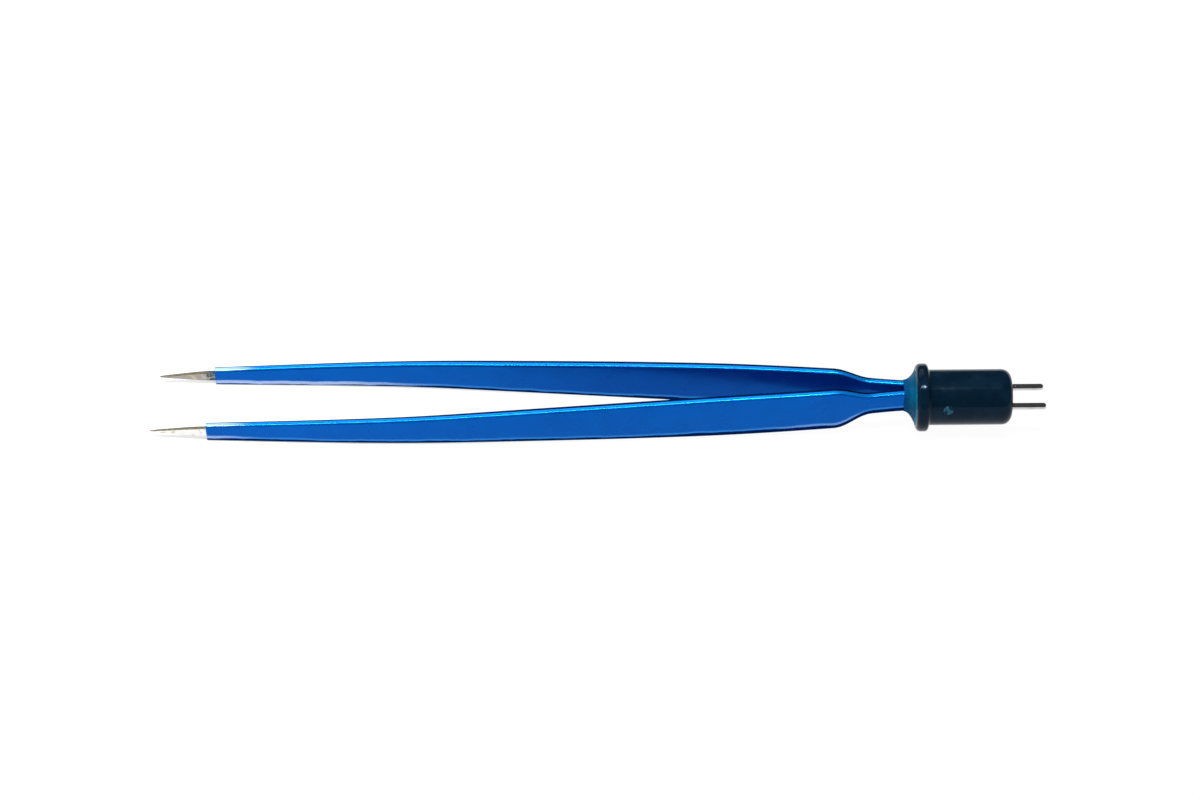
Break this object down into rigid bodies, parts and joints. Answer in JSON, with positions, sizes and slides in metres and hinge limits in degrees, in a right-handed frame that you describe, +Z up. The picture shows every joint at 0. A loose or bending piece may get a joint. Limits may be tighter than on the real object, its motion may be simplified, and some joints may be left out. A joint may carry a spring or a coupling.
{
  "type": "bipolar forceps",
  "caption": "Straight surgical bipolar forceps: coated spring arms with bare pointed steel tips, potted in a moulded plug with contact pins.",
  "frame": {"origin": "middle of the resting footprint, on the surface that the forceps lie on", "axes": "+X from the tips to the contact pins, +Y from the near arm to the far arm, +Z up from the surface"},
  "size_m": [0.1998, 0.0208, 0.0153],
  "materials": {
    "shell_plastic": "satin moulded",
    "resin": "cast resin",
    "pin_steel": "polished",
    "blade_steel": "ground and brushed",
    "insulation_coat": "glossy powder coat"
  },
  "bodies": {
    "plug": {"plug_shell": "shell_plastic", "potting": "resin", "near_contact_pin": "pin_steel", "far_contact_pin": "pin_steel"},
    "near_arm": {"near_blade": "blade_steel", "near_insulation": "insulation_coat"},
    "far_arm": {"far_blade": "blade_steel", "far_insulation": "insulation_coat"}
  },
  "joints": [
    {"name": "near_arm_flex", "type": "hinge", "parent": "plug", "child": "near_arm", "pos_m": [0.06824, -0.00165, 0.00822], "axis": [0.0345, 0, -0.9994], "range_deg": [0, 3], "stiffness_Nm_per_rad": 2},
    {"name": "far_arm_flex", "type": "hinge", "parent": "plug", "child": "far_arm", "pos_m": [0.06824, 0.00165, 0.00822], "axis": [-0.0345, 0, 0.9994], "range_deg": [0, 3], "stiffness_Nm_per_rad": 2}
  ]
}
